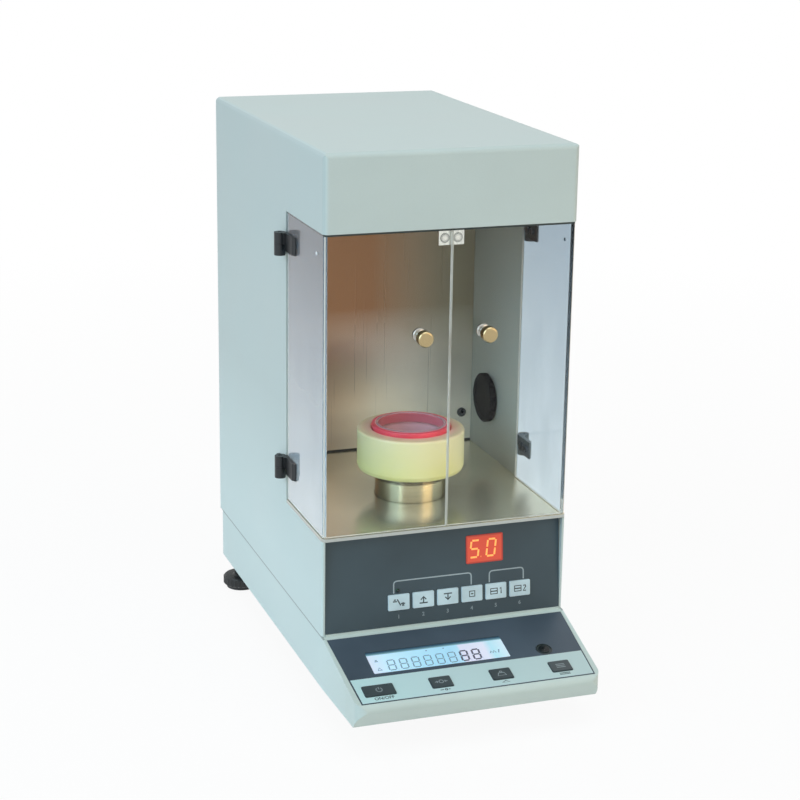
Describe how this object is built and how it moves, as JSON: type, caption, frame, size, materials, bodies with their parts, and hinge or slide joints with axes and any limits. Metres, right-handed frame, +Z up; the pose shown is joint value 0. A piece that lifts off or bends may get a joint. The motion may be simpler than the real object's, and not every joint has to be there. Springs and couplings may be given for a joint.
{
  "type": "surface tensiometer",
  "caption": "Bench surface tensiometer: glazed cabinet with two swinging doors, a lifting sample stage, a sloping display console and levelling feet.",
  "frame": {"origin": "on the bench under the centre of the whole instrument's outline", "axes": "+Z up, front towards -Y, +X to the right seen from the front"},
  "size_m": [0.2188, 0.396, 0.436],
  "materials": {
    "base_shell": "satin powder coat",
    "base_plate": "satin",
    "housing_shell": "satin powder coat",
    "rear_panel": "satin powder coat",
    "control_panel": "matt printed film",
    "console_overlay": "matt printed film",
    "chamber_floor": "brushed",
    "chamber_back": "polished",
    "chamber_ceiling": "satin",
    "catch_bracket": "bright",
    "hinge_blocks": "moulded",
    "hinge_pins": "ground",
    "led_window": "polished",
    "led_display": "moulded",
    "key_board": "solder resist",
    "lcd_window": "polished",
    "lcd_display": "glass cell",
    "console_board": "solder resist",
    "level_vial": "polished",
    "column_guide": "turned",
    "force_sensor": "milled",
    "main_board": "solder resist",
    "power_supply": "galvanised sheet",
    "lift_motor": "satin",
    "lift_frame": "milled",
    "guide_rods": "ground",
    "inlet_socket": "moulded",
    "case_screws": "zinc plated",
    "front_feet": "moulded",
    "probe_grommet": "moulded",
    "left_door": "clear acrylic",
    "left_door_clamps": "moulded",
    "left_door_knob": "turned",
    "right_door": "clear acrylic",
    "right_door_clamps": "moulded",
    "right_door_knob": "turned",
    "stage_column": "satin turned",
    "lift_carriage": "milled",
    "lead_screw": "rolled",
    "cup_holder": "turned, translucent",
    "sample_dish": "clear",
    "dish_ring": "moulded",
    "weighing_hook": "drawn wire",
    "lift_key_1": "moulded",
    "lift_key_2": "moulded",
    "lift_key_3": "moulded",
    "lift_key_4": "moulded",
    "lift_key_5": "moulded",
    "lift_key_6": "moulded",
    "power_key": "moulded",
    "tare_key": "moulded",
    "cal_key": "moulded",
    "mode_key": "moulded",
    "power_rocker": "moulded",
    "lock_knob": "moulded",
    "left_foot_pad": "moulded",
    "left_foot_wheel": "moulded",
    "right_foot_pad": "moulded",
    "right_foot_wheel": "moulded"
  },
  "bodies": {
    "cabinet": {"base_shell": "base_shell", "base_plate": "base_plate", "housing_shell": "housing_shell", "rear_panel": "rear_panel", "control_panel": "control_panel", "console_overlay": "console_overlay", "chamber_floor": "chamber_floor", "chamber_back": "chamber_back", "chamber_ceiling": "chamber_ceiling", "catch_bracket": "catch_bracket", "hinge_blocks": "hinge_blocks", "hinge_pins": "hinge_pins", "led_window": "led_window", "led_display": "led_display", "key_board": "key_board", "lcd_window": "lcd_window", "lcd_display": "lcd_display", "console_board": "console_board", "level_vial": "level_vial", "column_guide": "column_guide", "force_sensor": "force_sensor", "main_board": "main_board", "power_supply": "power_supply", "lift_motor": "lift_motor", "lift_frame": "lift_frame", "guide_rods": "guide_rods", "inlet_socket": "inlet_socket", "case_screws": "case_screws", "front_feet": "front_feet", "probe_grommet": "probe_grommet"},
    "left_door": {"left_door": "left_door", "left_door_clamps": "left_door_clamps", "left_door_knob": "left_door_knob"},
    "right_door": {"right_door": "right_door", "right_door_clamps": "right_door_clamps", "right_door_knob": "right_door_knob"},
    "stage": {"stage_column": "stage_column", "lift_carriage": "lift_carriage"},
    "screw": {"lead_screw": "lead_screw"},
    "cup": {"cup_holder": "cup_holder"},
    "dish": {"sample_dish": "sample_dish", "dish_ring": "dish_ring"},
    "hook": {"weighing_hook": "weighing_hook"},
    "lift_key_1": {"lift_key_1": "lift_key_1"},
    "lift_key_2": {"lift_key_2": "lift_key_2"},
    "lift_key_3": {"lift_key_3": "lift_key_3"},
    "lift_key_4": {"lift_key_4": "lift_key_4"},
    "lift_key_5": {"lift_key_5": "lift_key_5"},
    "lift_key_6": {"lift_key_6": "lift_key_6"},
    "power_key": {"power_key": "power_key"},
    "tare_key": {"tare_key": "tare_key"},
    "cal_key": {"cal_key": "cal_key"},
    "mode_key": {"mode_key": "mode_key"},
    "rocker": {"power_rocker": "power_rocker"},
    "lock_knob": {"lock_knob": "lock_knob"},
    "left_foot_pad": {"left_foot_pad": "left_foot_pad"},
    "left_foot_wheel": {"left_foot_wheel": "left_foot_wheel"},
    "right_foot_pad": {"right_foot_pad": "right_foot_pad"},
    "right_foot_wheel": {"right_foot_wheel": "right_foot_wheel"}
  },
  "joints": [
    {"name": "left_door_swing", "type": "hinge", "parent": "cabinet", "child": "left_door", "pos_m": [-0.105, -0.018, 0.262], "axis": [0, 0, -1], "range_deg": [0, 100]},
    {"name": "right_door_swing", "type": "hinge", "parent": "cabinet", "child": "right_door", "pos_m": [0.105, -0.018, 0.262], "axis": [0, 0, 1], "range_deg": [0, 100]},
    {"name": "stage_lift", "type": "slide", "parent": "cabinet", "child": "stage", "axis": [0, 0, 1], "range_m": [-0.015, 0.035]},
    {"name": "screw_turn", "type": "hinge", "parent": "cabinet", "child": "screw", "pos_m": [0, -0.03, 0.064], "axis": [0, 0, 1], "range_deg": [-1081, 2521]},
    {"name": "cup_lift_off", "type": "slide", "parent": "stage", "child": "cup", "axis": [0, 0, 1], "range_m": [0, 0.05]},
    {"name": "dish_lift_off", "type": "slide", "parent": "cup", "child": "dish", "axis": [0, 0, 1], "range_m": [0, 0.05]},
    {"name": "hook_travel", "type": "slide", "parent": "cabinet", "child": "hook", "axis": [0, 0, 1], "range_m": [-0.001, 0], "stiffness_N_per_m": 400},
    {"name": "lift_key_1_press", "type": "slide", "parent": "cabinet", "child": "lift_key_1", "axis": [0, 0.9959, -0.0906], "range_m": [0, 0.0005], "stiffness_N_per_m": 400},
    {"name": "lift_key_2_press", "type": "slide", "parent": "cabinet", "child": "lift_key_2", "axis": [0, 0.9959, -0.0906], "range_m": [0, 0.0005], "stiffness_N_per_m": 400},
    {"name": "lift_key_3_press", "type": "slide", "parent": "cabinet", "child": "lift_key_3", "axis": [0, 0.9959, -0.0906], "range_m": [0, 0.0005], "stiffness_N_per_m": 400},
    {"name": "lift_key_4_press", "type": "slide", "parent": "cabinet", "child": "lift_key_4", "axis": [0, 0.9959, -0.0906], "range_m": [0, 0.0005], "stiffness_N_per_m": 400},
    {"name": "lift_key_5_press", "type": "slide", "parent": "cabinet", "child": "lift_key_5", "axis": [0, 0.9959, -0.0906], "range_m": [0, 0.0005], "stiffness_N_per_m": 400},
    {"name": "lift_key_6_press", "type": "slide", "parent": "cabinet", "child": "lift_key_6", "axis": [0, 0.9959, -0.0906], "range_m": [0, 0.0005], "stiffness_N_per_m": 400},
    {"name": "power_key_press", "type": "slide", "parent": "cabinet", "child": "power_key", "axis": [0, 0.2656, -0.9641], "range_m": [0, 0.0005], "stiffness_N_per_m": 400},
    {"name": "tare_key_press", "type": "slide", "parent": "cabinet", "child": "tare_key", "axis": [0, 0.2656, -0.9641], "range_m": [0, 0.0005], "stiffness_N_per_m": 400},
    {"name": "cal_key_press", "type": "slide", "parent": "cabinet", "child": "cal_key", "axis": [0, 0.2656, -0.9641], "range_m": [0, 0.0005], "stiffness_N_per_m": 400},
    {"name": "mode_key_press", "type": "slide", "parent": "cabinet", "child": "mode_key", "axis": [0, 0.2656, -0.9641], "range_m": [0, 0.0005], "stiffness_N_per_m": 400},
    {"name": "rocker_tilt", "type": "hinge", "parent": "cabinet", "child": "rocker", "pos_m": [-0.058, 0.1922, 0.1235], "axis": [1, 0, 0], "range_deg": [0, 16]},
    {"name": "lock_knob_turn", "type": "hinge", "parent": "cabinet", "child": "lock_knob", "pos_m": [0.0988, 0.049, 0.194], "axis": [-1, 0, 0], "range_deg": [0, 90]},
    {"name": "left_foot_height", "type": "slide", "parent": "cabinet", "child": "left_foot_pad", "axis": [0, 0, 1], "range_m": [-0.008, 0]},
    {"name": "left_foot_turn", "type": "hinge", "parent": "left_foot_pad", "child": "left_foot_wheel", "pos_m": [-0.09, 0.164, 0.014], "axis": [0, 0, 1], "range_deg": [0, 2304]},
    {"name": "right_foot_height", "type": "slide", "parent": "cabinet", "child": "right_foot_pad", "axis": [0, 0, 1], "range_m": [-0.008, 0]},
    {"name": "right_foot_turn", "type": "hinge", "parent": "right_foot_pad", "child": "right_foot_wheel", "pos_m": [0.09, 0.164, 0.014], "axis": [0, 0, 1], "range_deg": [0, 2304]}
  ],
  "couplings": [
    {"joint": "screw_turn", "follows": "stage_lift", "rad_per_m": 1256.6},
    {"joint": "left_foot_turn", "follows": "left_foot_height", "rad_per_m": -5026.5},
    {"joint": "right_foot_turn", "follows": "right_foot_height", "rad_per_m": -5026.5}
  ]
}
